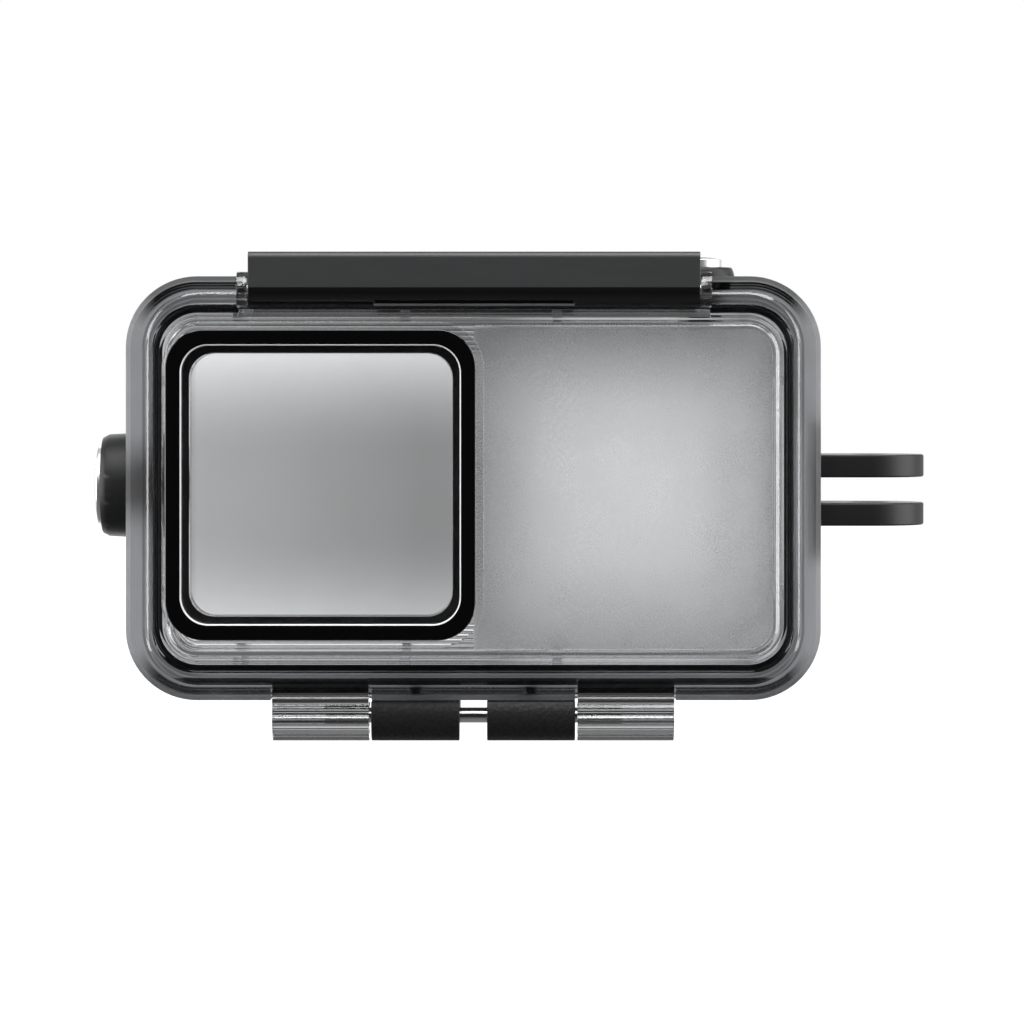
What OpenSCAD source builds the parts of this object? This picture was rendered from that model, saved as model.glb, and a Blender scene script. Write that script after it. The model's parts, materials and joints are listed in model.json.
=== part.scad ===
// Waterproof dive housing for a small two-module action camera.
// Lengths are in millimetres. The parts are drawn about the middle of the case outline, with
// X to the right, Y to the back from the door's front face, and Z up. Then all of it is moved
// so that the origin is the middle of the bore through the two mounting fingers.

/* [Case] */
// Width of the rear shell
case_w = 91; // [86:0.5:110]
// Height of the rear shell
case_h = 55.5; // [53:0.5:68]
// Depth from the door's front face to the back of the rear shell
case_d = 30; // [28:0.5:40]
// Corner radius of the rear shell
case_r = 9.3; // [8.5:0.1:13]
// Thickness of the rear shell's four walls
wall = 3.6; // [3:0.1:4.4]
// Thickness of the rear shell's back wall
back_wall = 3; // [2.4:0.1:4]
// Radius of the rear shell's back edge
back_edge = 2.2; // [1:0.1:2.8]

/* [Door] */
// Distance from the door's front face to the rim that the door closes on
rim_y = 4; // [3.6:0.1:5]
// Thickness of the door's plate
plate_t = 2.6; // [2:0.1:3.4]
// Radial gap between the door's skirt and the shell
skirt_gap = 0.2; // [0.15:0.05:0.4]
// How far the skirt reaches behind the rim
skirt_depth = 4.4; // [4:0.1:6]
// Thickness of the skirt at the left and right
skirt_side = 1.9; // [1.7:0.1:2.6]
// Thickness of the skirt at the top and bottom
skirt_end = 2.3; // [1.9:0.1:3]
// How far the flange laps over the rim at the left and right
lap_side = 0.8; // [0.5:0.1:1.4]
// How far the flange laps over the rim at the top and bottom
lap_end = 1.5; // [0.8:0.1:2]
// Thickness of the flange
flange_t = 1.4; // [1:0.1:2]
// Height of the front field above the shoulder around it
field_step = 0.9; // [0.4:0.1:1.2]

/* [Lens port] */
// Outer size of the square lens frame
frame_s = 40.2; // [36:0.1:41]
// Size of the opening in the lens frame
opening_s = 36; // [32:0.1:36.6]
// Size of the clear window in the door behind the glass
window_s = 34; // [28:0.1:34.6]
// Outer corner radius of the lens frame
frame_r = 5; // [4:0.1:8]
// How far the lens port sits above the middle of the case
lens_lift = 0.6; // [0:0.1:1]
// How far the boss stands out from the front face
boss_h = 2.6; // [2:0.1:4]
// How far the lens frame stands out from the boss
frame_proud = 0.8; // [0.3:0.1:1.2]
// Thickness of the glass
glass_t = 1.6; // [1.2:0.1:2]

/* [Latch] */
// Length of the latch along the case
latch_w = 58.6; // [44:0.2:62]
// Radius of the latch's barrel
latch_r = 2.3; // [2.1:0.1:2.6]
// Height of the latch above the top of the case
latch_rise = 3.05; // [2.8:0.05:4]
// How far back the hook reaches behind the latch's pin
hook_reach = 12.3; // [11:0.1:13]
// Radius of the latch's pin
latch_pin_r = 0.8; // [0.7:0.05:1]
// How far the hook drops behind its catch
hook_grip = 1; // [0.6:0.1:1.1]

/* [Hinge] */
// Radius of the hinge's barrels
hinge_r = 3.34; // [2.7:0.02:3.8]
// Radius of the hinge's pin
hinge_pin_r = 1; // [0.8:0.05:1.2]
// Length of the hinge's pin
hinge_pin_l = 39.2; // [34:0.2:50]
// Half of the gap between the two black knuckles
knuckle_in = 1.8; // [1:0.1:3]
// Width of each black knuckle
knuckle_w = 11.5; // [9:0.1:12.5]
// Width of each clear knuckle
clear_knuckle_w = 12.6; // [9:0.1:15]

/* [Shutter button] */
// Diameter of the shutter button's collar
shutter_collar_d = 13.9; // [12.6:0.1:16]
// Height of the shutter button's collar
shutter_collar_h = 4; // [3.4:0.1:5]
// Diameter of the shutter button's cap
shutter_cap_d = 10.95; // [9:0.05:11.4]
// Travel of the shutter button
shutter_travel = 1.8; // [1:0.1:1.9]

/* [Mode button] */
// Diameter of the mode button's collar
mode_collar_d = 9.6; // [8.8:0.1:12]
// Height of the mode button's collar
mode_collar_h = 1.45; // [1.2:0.05:2.2]
// Diameter of the mode button's cap
mode_cap_d = 6.1; // [5:0.05:6.4]
// Travel of the mode button
mode_travel = 1.2; // [0.8:0.1:1.3]

/* [Mounting fingers] */
// Thickness of each finger
finger_t = 3; // [2.8:0.05:3.1]
// Gap between the two fingers
finger_gap = 3.4; // [3.2:0.05:3.5]
// Radius of the fingers' round ends
finger_r = 7.3; // [6.5:0.1:8]
// Radius of the bore through the fingers
finger_bore_r = 2.6; // [2.5:0.05:2.8]
// Distance from the case's side to the bore
finger_reach = 7.2; // [6.8:0.1:12]

/* [Hidden] */
$fn = 96;
eps = 0.01;

// Clearances
fit = 0.05;        // pieces that slide or turn on each other
seat_gap = 0.05;   // the door's flange above the rim
still = 0.02;      // pieces pressed or glued together
swing_gap = 0.3;   // a turning barrel inside a hollow of the shell
latch_gap = 0.15;  // the latch over the case and its catch

// The shell's mouth and the door that fills it
mouth_w = case_w - 2 * wall;
mouth_h = case_h - 2 * wall;
mouth_r = case_r - wall;
block_w = mouth_w - 2 * skirt_gap;
block_h = mouth_h - 2 * skirt_gap;
block_r = mouth_r - skirt_gap;
flange_w = mouth_w + 2 * lap_side;
flange_h = mouth_h + 2 * lap_end;
flange_r = mouth_r + (lap_side + lap_end) / 2;
bay_w = block_w - 2 * skirt_side;
bay_h = block_h - 2 * skirt_end;
bay_r = 4.1;
case_top = case_h / 2;
case_side = case_w / 2;
flange_y = rim_y - seat_gap;
rim_edge = 0.7;
field_edge = 0.45;
flange_edge = 0.35;

// The seal around the skirt
groove_y = rim_y + 1.2;
groove_w = 2.2;
groove_depth = 1;
seal_proud = skirt_gap - still * 3;

// The lens port
lens_x = -bay_w / 2 + frame_s / 2;
boss_edge = 1;
boss_side = 0.45;
boss_w = frame_s + boss_edge + boss_side;
boss_x = lens_x + (boss_edge - boss_side) / 2;
boss_s = frame_s + 2 * boss_edge;
boss_r = frame_r + boss_edge;
frame_floor = -0.5;
frame_front = -boss_h - frame_proud;
lens_seal_t = 0.35;
lens_seal_lip = 0.1;      // the seal stays this far back from the window's edge
glass_lip = 0.7;
glass_s = (frame_s + opening_s) / 2 - glass_lip;
glass_r = 4;
glass_back = frame_floor - lens_seal_t;
glass_front = glass_back - glass_t;

// The latch, its ears and its pin
latch_x = 0.15;
latch_pin_z = case_top - 1.85;
latch_pin_y = flange_y - flange_t - 0.25 - latch_r;
latch_top = case_top + latch_rise;
latch_plate = 1.5;
ear_t = 1.4;
ear_gap = 0.1;
catch_h = latch_rise - latch_plate - latch_gap;
hook_t = 1.9;
hook_in = hook_reach - hook_t;
catch_t = 1.8;
tab_w = 26;
tab_reach = 16;
ledge_drop = 2.15;
ledge_lip = 0.55;       // what is left of the shoulder under the latch
ledge_spread = 1.6;     // how far the ledge runs past each end of the latch at its foot
ledge_slant = 1.2;      // how much shorter the ledge is at its top
latch_corner = 0.8;     // radius of the latch's front upper edge
slot_z = -1.85;         // the groove in the latch's front, from its pin
slot_t = 0.4;
grip_grooves = 4;       // the grooves on the latch's tab
grip_pitch = 1.1;
grip_w = 0.5;
grip_d = 0.3;
grip_end = 2;            // left plain at each end of a groove
grip_start = 0.3;        // left plain behind the last groove
tab_chamfer = 1.2;

// The hinge
hinge_y = rim_y + 1;
hinge_z = -case_top - 1.95;
knuckle_gap = 0.3;
clear_in = knuckle_in + knuckle_w + knuckle_gap;
arm_top = 3.05;
foot_t = 2.25;
foot_reach = 15.5;
screw_r = 0.9;
screw_head_r = 1.7;
screw_head_h = 1.1;
screw_depth = 2.5;
screw_rows = [6.8, 12.2];
screw_clear = 0.2;      // the hole below the screw's tip
socket_r = 0.85;
socket_d = 0.6;
knuckle_mid = knuckle_in + knuckle_w / 2;

// The buttons, each drawn on its own axis from the wall's outer face
button_y = 17;
shutter_z = 0.15;
mode_x = 30.1;
neck_r = 4;
nut_bore_r = neck_r - 0.9;
nut_flat_r = 5.2;
nut_t = 1.3;
neck_end = wall + nut_t + 0.15;
clip_t = 0.45;
clip_bite = 0.4;        // how deep the clip sits in the stem
clip_rim = 1;           // how far the clip stands out from the stem
seal_wire = 0.5;
seal_ring_r = 0.17;
tip_t = 0.5;
tip_rim = 0.4;          // how far the tip stands out from the stem
tip_seat = 0.1;         // how far the stem reaches short of the tip's middle
tip_floor = 0.25;       // the tip below the stem's end
shutter_stem_r = 1.5;
mode_stem_r = 1;
shutter_cap_rise = 1.3;
mode_cap_rise = 1.4;
spring_wire = 0.45;
spring_room = 0.5;      // around the spring in the cap
roof_socket = 0.5;      // how far the stem goes into the cap's roof
stem_gap = 0.05;        // left above the stem in that socket

// The mounting fingers
finger_z = -0.4;
finger_x = case_side + finger_reach;
base_t = 1.6;
base_w = 17;
base_h = 18;
base_r = 3;

// The ribs that hold the camera inside the shell
rib_t = 1.2;
rib_front = rim_y + skirt_depth + 1.2;
rib_gap = 0.15;
long_ribs = [-31, -9, 11];
short_ribs = [-14, 14];

// ---- shared shapes ----

module place() {
  translate([-finger_x, -button_y, -finger_z]) children();
}

// A flat rounded rectangle in X and Z
module panel(w, h, r) {
  square([w - 2 * r, h], center = true);
  square([w, h - 2 * r], center = true);
  for (x = [-1, 1], z = [-1, 1]) translate([x * (w / 2 - r), z * (h / 2 - r)]) circle(r);
}

// Extrudes a shape drawn in X and Z from y0 back to y1
module from_to(y0, y1) {
  translate([0, y1, 0]) rotate([90, 0, 0]) linear_extrude(y1 - y0) children();
}

// Extrudes a shape drawn in Y and Z from x0 to x1
module along_x(x0, x1) {
  translate([x0, 0, 0]) rotate([90, 0, 90]) linear_extrude(x1 - x0) children();
}

// A rod along X
module rod_x(r, x0, x1, y, z) {
  translate([x0, y, z]) rotate([0, 90, 0]) cylinder(r = r, h = x1 - x0);
}

// Runs a section round a rounded rectangle; the section's X is the distance out from the
// corner centres, and its Y runs to the back
module around(w, h, r) {
  a = w / 2 - r;
  b = h / 2 - r;
  rotate([-90, 0, 0]) {
    for (q = [[a, b, 0], [-a, b, 90], [-a, -b, 180], [a, -b, 270]])
      translate([q[0], q[1], 0]) rotate(q[2]) rotate_extrude(angle = 90) children();
    for (s = [0, 180]) rotate(s) translate([a, b, 0]) rotate([90, 0, 0])
      linear_extrude(2 * b) children();
    for (s = [90, 270]) rotate(s) translate([b, a, 0]) rotate([90, 0, 0])
      linear_extrude(2 * a) children();
  }
}

// A slab of thickness t whose outer edge is cut back by c at its near side
module bevel_slab(w, h, r, t, c) {
  around(w, h, r) polygon([[0, 0], [r - c, 0], [r, c], [r, t], [0, t]]);
  from_to(0, t) square([w - 2 * r + eps, h - 2 * r + eps], center = true);
}

// A coil spring standing on z = 0
function coil_point(a, r, turns, h, wire) =
  [r * cos(a * 360), r * sin(a * 360), wire + (h - 2 * wire) * a / turns];

module coil(r, wire, turns, h) {
  sides = 6;
  steps = ceil(turns * 14);
  rings = [for (i = [0:steps]) let (a = turns * i / steps, c = coil_point(a, r, turns, h, wire))
    for (k = [0:sides - 1]) let (u = 360 * k / sides)
      [c[0] + wire * cos(u) * cos(a * 360), c[1] + wire * cos(u) * sin(a * 360),
       c[2] + wire * sin(u)]];
  polyhedron(rings, concat(
    [[for (k = [0:sides - 1]) k]],
    [for (i = [0:steps - 1], k = [0:sides - 1]) let (n = (k + 1) % sides)
      [i * sides + k, (i + 1) * sides + k, (i + 1) * sides + n, i * sides + n]],
    [[for (k = [sides - 1:-1:0]) steps * sides + k]]), convexity = 8);
}

// ---- places of the two buttons ----

module on_left() {
  translate([-case_side, button_y, shutter_z]) rotate([0, -90, 0]) children();
}

module on_top() {
  translate([mode_x, button_y + 1, case_top]) children();
}

// ---- rear shell ----

// The outer edge of the shell from its rim to its back, bevelled in front and rounded behind
function shell_edge(r, deep) = concat([[0, 0], [r - rim_edge, 0], [r, rim_edge]],
  [for (a = [0:11.25:90]) [r - back_edge + back_edge * cos(a), deep - back_edge + back_edge * sin(a)]],
  [[0, deep]]);

module shell_walls() {
  deep = case_d - rim_y;
  difference() {
    translate([0, rim_y, 0]) {
      around(case_w, case_h, case_r) polygon(shell_edge(case_r, deep));
      from_to(0, deep)
        square([case_w - 2 * case_r + eps, case_h - 2 * case_r + eps], center = true);
    }
    from_to(rim_y - 1, case_d - back_wall) panel(mouth_w, mouth_h, mouth_r);
  }
}

module shell_ribs() {
  for (s = [-1, 1], x = long_ribs)
    translate([x - rib_t / 2, rib_front, s > 0 ? bay_h / 2 + rib_gap : -mouth_h / 2 - eps])
      cube([rib_t, case_d - back_wall - rib_front + eps, (mouth_h - bay_h) / 2 - rib_gap + eps]);
  for (s = [-1, 1], z = short_ribs)
    translate([s > 0 ? bay_w / 2 + rib_gap : -mouth_w / 2 - eps, rib_front, z - rib_t / 2])
      cube([(mouth_w - bay_w) / 2 - rib_gap + eps, case_d - back_wall - rib_front + eps, rib_t]);
}

// The catch on top of the shell; its back is an arc about the latch's pin
module shell_catch() {
  catch_r = norm([hook_in, case_top + catch_h - latch_pin_z]) - latch_gap;
  along_x(latch_x - latch_w / 2, latch_x + latch_w / 2) intersection() {
    translate([latch_pin_y + hook_in - catch_t - latch_gap, case_top - eps])
      square([catch_t + latch_gap, catch_h + eps]);
    translate([latch_pin_y, latch_pin_z]) circle(catch_r, $fn = 192);
  }
}

module rear_shell() {
  color("Silver", 0.45) place() difference() {
    union() {
      shell_walls();
      shell_ribs();
      shell_catch();
    }
    for (s = [-1, 1]) let (a = s * (clear_in - swing_gap), b = s * (clear_in + clear_knuckle_w
      + swing_gap)) rod_x(hinge_r + swing_gap, min(a, b), max(a, b), hinge_y, hinge_z);
    base_pocket(still);
    on_left() translate([0, 0, -wall - 1]) cylinder(r = neck_r + still, h = wall + 2);
    on_top() translate([0, 0, -wall - 1]) cylinder(r = neck_r + still, h = wall + 2);
    screw_places() translate([0, 0, -eps]) cylinder(r = screw_r + still, h = screw_depth + screw_clear);
  }
}

// ---- mounting fingers ----

module base_pocket(gap) {
  translate([case_side - base_t - gap, button_y, finger_z]) rotate([90, 0, 90])
    linear_extrude(base_t + gap + 0.01) panel(base_w + 2 * gap, base_h + 2 * gap, base_r + gap);
}

module finger(z0) {
  translate([0, 0, z0]) linear_extrude(finger_t) {
    translate([finger_x, button_y]) circle(finger_r);
    translate([case_side - base_t / 2, button_y - finger_r])
      square([finger_reach + base_t / 2, 2 * finger_r]);
  }
}

module mount_fingers() {
  color("DimGray") place() difference() {
    union() {
      translate([case_side - base_t, button_y, finger_z]) rotate([90, 0, 90])
        linear_extrude(base_t) panel(base_w, base_h, base_r);
      finger(finger_z + finger_gap / 2);
      finger(finger_z - finger_gap / 2 - finger_t);
    }
    translate([finger_x, button_y, finger_z]) cylinder(r = finger_bore_r,
      h = finger_gap + 2 * finger_t + 2, center = true);
  }
}

// ---- hinge ----

module screw_places() {
  for (s = [-1, 1], y = screw_rows)
    translate([s * knuckle_mid, hinge_y + y, -case_top]) children();
}

// A black knuckle with its foot flat on the underside of the shell
module black_knuckle(side) {
  x0 = side > 0 ? knuckle_in : -knuckle_in - knuckle_w;
  under = -case_top - still;
  difference() {
    along_x(x0, x0 + knuckle_w) {
      intersection() {
        translate([hinge_y, hinge_z]) circle(hinge_r);
        translate([hinge_y - hinge_r, under - 2 * hinge_r]) square(2 * hinge_r);
      }
      translate([hinge_y, under - foot_t]) square([foot_reach - foot_t / 2, foot_t]);
      intersection() {
        translate([hinge_y + foot_reach - foot_t, under]) circle(foot_t);
        translate([hinge_y, under - foot_t]) square([foot_reach, foot_t]);
      }
    }
    rod_x(hinge_pin_r + still, x0 - 1, x0 + knuckle_w + 1, hinge_y, hinge_z);
    screw_places() {
      translate([0, 0, -foot_t - 1]) cylinder(r = screw_r + fit, h = foot_t + 2);
      translate([0, 0, -foot_t - 1]) cylinder(r = screw_head_r + fit, h = 1 + screw_head_h);
    }
  }
}

module hinge_knuckle_left() {
  color("Black") place() black_knuckle(-1);
}

module hinge_knuckle_right() {
  color("Black") place() black_knuckle(1);
}

module hinge_screws() {
  color("Gray") place() screw_places() difference() {
    union() {
      translate([0, 0, -foot_t]) cylinder(r = screw_r, h = foot_t + screw_depth);
      translate([0, 0, -foot_t - still]) cylinder(r = screw_head_r, h = screw_head_h - still);
    }
    translate([0, 0, -foot_t - 1]) cylinder(r = socket_r, h = 1 + socket_d, $fn = 6);
  }
}

module hinge_pin() {
  color("Silver") place() rod_x(hinge_pin_r, -hinge_pin_l / 2, hinge_pin_l / 2, hinge_y, hinge_z);
}

// ---- button pieces, shared by both buttons ----

module button_collar(collar_r, collar_h, cap_r, floor_z, stem_r, taper) {
  edge = 0.9 * min(1, collar_h / 3);
  difference() {
    union() {
      rotate_extrude() {
        polygon([[0, 0], [collar_r, 0], [collar_r - taper, collar_h - edge],
          [collar_r - taper - edge / 2, collar_h], [0, collar_h]]);
      }
      translate([0, 0, -neck_end]) cylinder(r = nut_bore_r, h = neck_end + eps);
      translate([0, 0, -wall]) cylinder(r = neck_r, h = wall + eps);
    }
    translate([0, 0, floor_z]) cylinder(r = cap_r + fit, h = collar_h - floor_z + 1);
    translate([0, 0, -neck_end - 1]) cylinder(r = stem_r + fit, h = neck_end + collar_h + 1);
    stem_seal_groove(stem_r);
    rotate_extrude() translate([wall_seal_r(collar_r, cap_r) - seal_ring_r - still, -1])
      square([2 * seal_ring_r + 2 * still, 1 + 2 * seal_ring_r]);
  }
}

module stem_seal_groove(stem_r) {
  translate([0, 0, -wall]) cylinder(r = stem_r + fit + 2 * seal_wire + still, h = 2 * seal_wire
    + 2 * still);
}

module stem_seal(stem_r) {
  translate([0, 0, -wall + seal_wire + still]) rotate_extrude()
    translate([stem_r + fit / 2 + seal_wire + still, 0]) circle(seal_wire - still);
}

// The seal under a collar sits midway between the collar's edge and what its middle holds
function wall_seal_r(collar_r, cap_r) = (collar_r + max(neck_r, cap_r)) / 2;

module wall_seal(collar_r, cap_r) {
  translate([0, 0, seal_ring_r]) rotate_extrude()
    translate([wall_seal_r(collar_r, cap_r), 0]) circle(seal_ring_r - still / 2, $fn = 32);
}

module neck_nut() {
  translate([0, 0, -wall - nut_t - still]) difference() {
    cylinder(r = nut_flat_r, h = nut_t, $fn = 6);
    translate([0, 0, -1]) cylinder(r = nut_bore_r + still, h = nut_t + 2);
  }
}

// The cap is a cup over the spring, with a shallow dome
module button_cap(cap_r, bottom_z, top_z, dome, spring_r, roof, stem_r) {
  ball_r = (cap_r * cap_r + dome * dome) / (2 * dome);
  difference() {
    intersection() {
      translate([0, 0, bottom_z]) cylinder(r = cap_r, h = top_z - bottom_z);
      translate([0, 0, top_z - ball_r]) sphere(r = ball_r, $fn = 256);
    }
    translate([0, 0, bottom_z - 1])
      cylinder(r = spring_r + spring_room, h = roof - bottom_z + 1);
    translate([0, 0, bottom_z - 1])
      cylinder(r = stem_r + still, h = roof - bottom_z + 1 + roof_socket);
  }
}

module button_stem(stem_r, roof) {
  low = -neck_end - clip_t - tip_t + tip_seat;
  difference() {
    translate([0, 0, low]) cylinder(r = stem_r, h = roof + roof_socket - stem_gap - low);
    translate([0, 0, -neck_end - clip_t - still]) difference() {
      cylinder(r = stem_r + clip_rim, h = clip_t);
      translate([0, 0, -1]) cylinder(r = stem_r - clip_bite, h = clip_t + 2);
    }
  }
}

module button_clip(stem_r) {
  translate([0, 0, -neck_end - clip_t]) difference() {
    cylinder(r = stem_r + clip_rim, h = clip_t - 2 * still);
    translate([0, 0, -1]) cylinder(r = stem_r - clip_bite + still, h = clip_t + 2);
    translate([-stem_r / 2, 0, -1]) cube([stem_r, stem_r + 2 * clip_rim, clip_t + 2]);
  }
}

module button_tip(stem_r) {
  end = -neck_end - clip_t - tip_t;
  difference() {
    translate([0, 0, end - tip_floor]) cylinder(r = stem_r + tip_rim, h = tip_t + tip_floor
      - still);
    translate([0, 0, end + tip_seat - still]) cylinder(r = stem_r + still, h = 2 * tip_t);
  }
}

// ---- shutter button ----

shutter_collar_r = shutter_collar_d / 2;
shutter_cap_r = shutter_cap_d / 2;
shutter_top = shutter_collar_h + shutter_cap_rise;
shutter_floor = 0.4;
shutter_cap_low = shutter_floor + shutter_travel + 0.1;
shutter_roof = shutter_top - 1.5;
shutter_spring_r = 2.9;

module shutter_collar() {
  color("Black") place() on_left() button_collar(shutter_collar_r, shutter_collar_h,
    shutter_cap_r, shutter_floor, shutter_stem_r, 0.15);
}

module shutter_wall_seal() {
  color("DarkSlateGray") place() on_left() wall_seal(shutter_collar_r, shutter_cap_r);
}

module shutter_stem_seal() {
  color("DarkSlateGray") place() on_left() stem_seal(shutter_stem_r);
}

module shutter_nut() {
  color("Silver") place() on_left() neck_nut();
}

module shutter_cap() {
  color("Gainsboro") place() on_left() button_cap(shutter_cap_r, shutter_cap_low, shutter_top,
    0.75, shutter_spring_r, shutter_roof, shutter_stem_r);
}

module shutter_stem() {
  color("Silver") place() on_left() button_stem(shutter_stem_r, shutter_roof);
}

module shutter_clip() {
  color("DimGray") place() on_left() button_clip(shutter_stem_r);
}

module shutter_tip() {
  color("Black") place() on_left() button_tip(shutter_stem_r);
}

module shutter_spring() {
  color("Silver") place() on_left() translate([0, 0, shutter_floor + still])
    coil(shutter_spring_r - spring_wire, spring_wire / 2, 3.5,
      shutter_roof - shutter_floor - 2 * still);
}

// ---- mode button ----

mode_collar_r = mode_collar_d / 2;
mode_cap_r = mode_cap_d / 2;
mode_top = mode_collar_h + mode_cap_rise;
mode_floor = -1.55;
mode_cap_low = mode_floor + mode_travel + 0.1;
mode_roof = mode_top - 1;
mode_spring_r = 1.95;

module mode_collar() {
  color("Black") place() on_top() button_collar(mode_collar_r, mode_collar_h, mode_cap_r,
    mode_floor, mode_stem_r, 0.25);
}

module mode_wall_seal() {
  color("DarkSlateGray") place() on_top() wall_seal(mode_collar_r, mode_cap_r);
}

module mode_stem_seal() {
  color("DarkSlateGray") place() on_top() stem_seal(mode_stem_r);
}

module mode_nut() {
  color("Silver") place() on_top() neck_nut();
}

module mode_cap() {
  color("Gainsboro") place() on_top() button_cap(mode_cap_r, mode_cap_low, mode_top, 0.3,
    mode_spring_r, mode_roof, mode_stem_r);
}

module mode_stem() {
  color("Silver") place() on_top() button_stem(mode_stem_r, mode_roof);
}

module mode_clip() {
  color("DimGray") place() on_top() button_clip(mode_stem_r);
}

module mode_tip() {
  color("Black") place() on_top() button_tip(mode_stem_r);
}

module mode_spring() {
  color("Silver") place() on_top() translate([0, 0, mode_floor + still])
    coil(mode_spring_r - spring_wire, spring_wire / 2, 4.5, mode_roof - mode_floor - 2 * still);
}

// ---- front door ----

module door_block() {
  bevel_slab(bay_w, bay_h, bay_r, field_step + eps, field_edge);
  from_to(field_step, flange_y - flange_t + eps) panel(block_w, block_h, block_r);
  translate([0, flange_y - flange_t, 0])
    bevel_slab(flange_w, flange_h, flange_r, flange_t, flange_edge);
  from_to(flange_y - eps, rim_y + skirt_depth) panel(block_w, block_h, block_r);
}

module lens_panel(s, r) {
  translate([lens_x, lens_lift]) panel(s, s, r);
}

module seal_section(depth, proud) {
  translate([block_r - depth, groove_y]) square([depth + proud, groove_w]);
}

// The sloping ledge under the latch's barrel
module latch_ledge() {
  low = block_h / 2 - ledge_drop;
  half = latch_w / 2 + ledge_spread;
  intersection() {
    along_x(-case_w / 2, case_w / 2)
      polygon([[-boss_h - 2, low], [0, low], [flange_y - flange_t, block_h / 2 - ledge_lip],
        [flange_y - flange_t, case_top], [-boss_h - 2, case_top]]);
    from_to(-boss_h - 2, rim_y) translate([latch_x, 0]) polygon([
      [-half, low], [half, low], [half - ledge_slant, case_top], [ledge_slant - half, case_top]]);
  }
}

module door_ears() {
  for (s = [-1, 1]) {
    inner = s * (latch_w / 2 + ear_gap);
    outer = s * (latch_w / 2 + ear_gap + ear_t);
    along_x(latch_x + min(inner, outer), latch_x + max(inner, outer)) {
      translate([latch_pin_y, latch_pin_z]) circle(latch_r);
      translate([latch_pin_y, latch_pin_z - latch_r]) square([flange_y - latch_pin_y, 2 * latch_r]);
    }
  }
}

module door_knuckles() {
  for (s = [-1, 1]) {
    x0 = s > 0 ? clear_in : -clear_in - clear_knuckle_w;
    along_x(x0, x0 + clear_knuckle_w) {
      translate([hinge_y, hinge_z]) circle(hinge_r);
      translate([hinge_y - hinge_r, hinge_z])
        square([flange_y - hinge_y + hinge_r, arm_top - hinge_z - case_top]);
    }
  }
}

module front_door() {
  color("WhiteSmoke", 0.5) place() difference() {
    union() {
      difference() {
        door_block();
        latch_ledge();
        from_to(plate_t, rim_y + skirt_depth + 1) panel(bay_w, bay_h, bay_r);
      }
      from_to(-boss_h, plate_t - 0.6) translate([boss_x, lens_lift]) panel(boss_w, boss_s, boss_r);
      door_ears();
      door_knuckles();
    }
    from_to(-boss_h - 1, frame_floor) lens_panel(frame_s + 2 * still, frame_r + still);
    from_to(-boss_h - 1, plate_t + 1) lens_panel(window_s, glass_r - glass_lip);
    around(block_w, block_h, block_r) seal_section(groove_depth, 2);
    rod_x(latch_pin_r + still, latch_x - latch_w, latch_x + latch_w, latch_pin_y, latch_pin_z);
    rod_x(hinge_pin_r + fit, -clear_in - clear_knuckle_w - 1, clear_in + clear_knuckle_w + 1,
      hinge_y, hinge_z);
  }
}

module door_gasket() {
  color("Black") place() around(block_w, block_h, block_r) {
    translate([block_r - groove_depth + still, groove_y + still])
      square([groove_depth - 0.1, groove_w - 2 * still]);
    for (y = [0.25, 0.75]) intersection() {
      translate([block_r - 0.5 + seal_proud, groove_y + y * groove_w]) circle(0.5, $fn = 32);
      translate([block_r - 0.3, groove_y + still]) square([2, groove_w - 2 * still]);
    }
  }
}

module lens_frame() {
  color("Black") place() difference() {
    from_to(frame_front, frame_floor - still) lens_panel(frame_s, frame_r);
    from_to(frame_front - 1, 1) lens_panel(opening_s, glass_r - 0.5);
    from_to(glass_front - still, 1) lens_panel(glass_s + 2 * still, glass_r + still);
  }
}

module lens_glass() {
  color("LightSteelBlue", 0.3) place() from_to(glass_front, glass_back) lens_panel(glass_s,
    glass_r);
}

module lens_seal() {
  color("DarkSlateGray") place() difference() {
    from_to(glass_back + still, frame_floor - still) lens_panel(glass_s, glass_r);
    from_to(glass_back - 1, 1) lens_panel(window_s + 2 * lens_seal_lip, glass_r - glass_lip);
  }
}

// ---- latch ----

module latch_pin() {
  half = latch_w / 2 + ear_gap + ear_t;
  color("Silver") place() rod_x(latch_pin_r, latch_x - half, latch_x + half, latch_pin_y,
    latch_pin_z);
}

// The latch's section in Y and Z, measured from its pin
module latch_section() {
  top = latch_top - latch_pin_z;
  under = top - latch_plate;
  deep = case_top + catch_h - hook_grip - latch_pin_z;
  circle(latch_r);
  translate([-latch_r, 0]) square([2 * latch_r, top - latch_corner]);
  translate([-latch_r + latch_corner, under]) square([hook_reach + latch_r - latch_corner, latch_plate]);
  translate([-latch_r + latch_corner, top - latch_corner]) circle(latch_corner);
  difference() {
    translate([hook_in - 0.6, deep]) square([hook_t + 0.6, under - deep + eps]);
    circle(norm([hook_in, case_top + catch_h - latch_pin_z]), $fn = 192);
  }
}

module latch() {
  top = latch_top - latch_pin_z;
  color([0.2, 0.2, 0.22]) place() translate([latch_x, latch_pin_y, latch_pin_z]) difference() {
    union() {
      along_x(-latch_w / 2, latch_w / 2) latch_section();
      translate([-tab_w / 2, hook_reach - 1, top - latch_plate])
        cube([tab_w, tab_reach - hook_reach + 1, latch_plate]);
    }
    rod_x(latch_pin_r + fit, -latch_w, latch_w, 0, 0);
    translate([-tab_w / 2, -latch_r - 1, slot_z]) cube([tab_w, latch_r, slot_t]);
    for (i = [1:grip_grooves])
      translate([-tab_w / 2 + grip_end, tab_reach - grip_start - i * grip_pitch, top - grip_d])
        cube([tab_w - 2 * grip_end, grip_w, 1]);
    translate([-tab_w / 2 - 1, tab_reach - tab_chamfer / 2, top - latch_plate]) rotate([45, 0, 0])
      translate([0, 0, -tab_chamfer]) cube([tab_w + 2, 2 * tab_chamfer, tab_chamfer]);
  }
}

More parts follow.
